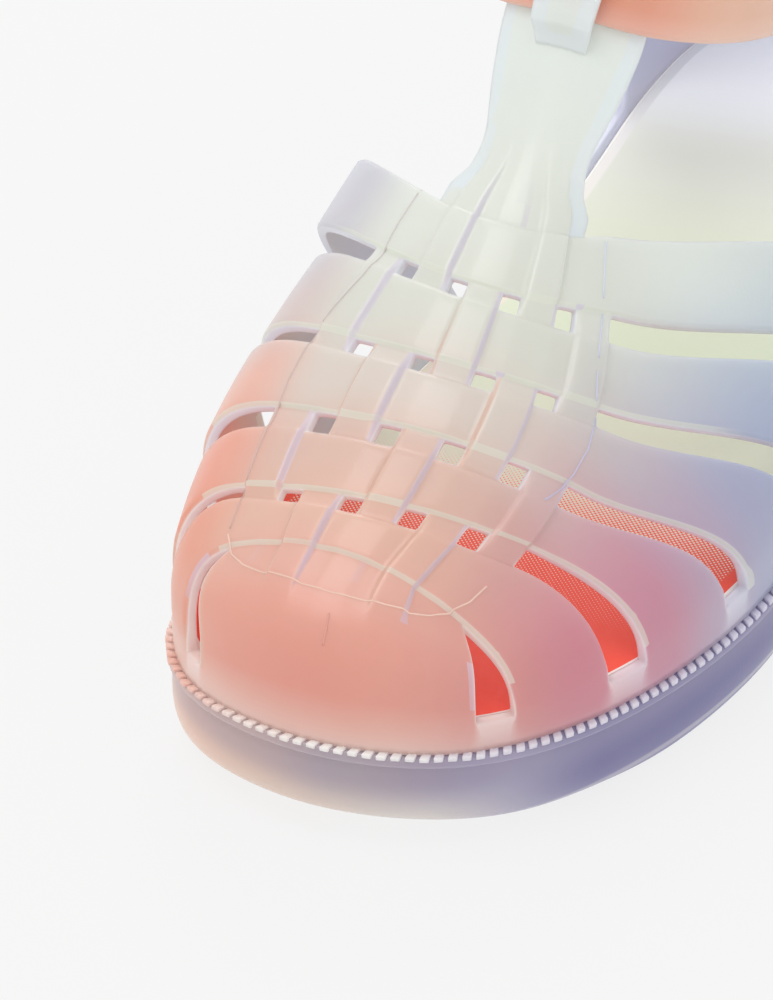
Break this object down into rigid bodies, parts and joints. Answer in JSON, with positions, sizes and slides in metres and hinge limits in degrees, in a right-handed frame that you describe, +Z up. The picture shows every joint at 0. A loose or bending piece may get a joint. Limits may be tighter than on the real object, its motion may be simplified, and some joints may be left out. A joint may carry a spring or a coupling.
{
  "type": "jelly sandal",
  "caption": "Left closed-toe jelly sandal: woven moulded upper over a knurled sole, with an insole, a heel counter and a buckled ankle strap",
  "frame": {"origin": "middle of the bounding box, on the floor", "axes": "toe along -Y, heel along +Y, outer side of the left foot along +X, up along +Z"},
  "size_m": [0.1014, 0.255, 0.1239],
  "materials": {
    "outsole": "satin translucent",
    "insole": "matt",
    "upper": "satin translucent",
    "ankle_strap": "satin translucent",
    "strap_keeper": "satin translucent",
    "strap_rivet": "plain",
    "buckle_frame": "plain",
    "buckle_prong": "plain"
  },
  "bodies": {
    "root": {"outsole": "outsole", "insole": "insole", "upper": "upper", "ankle_strap": "ankle_strap", "strap_keeper": "strap_keeper", "strap_rivet": "strap_rivet", "buckle_frame": "buckle_frame", "buckle_prong": "buckle_prong"}
  },
  "joints": []
}
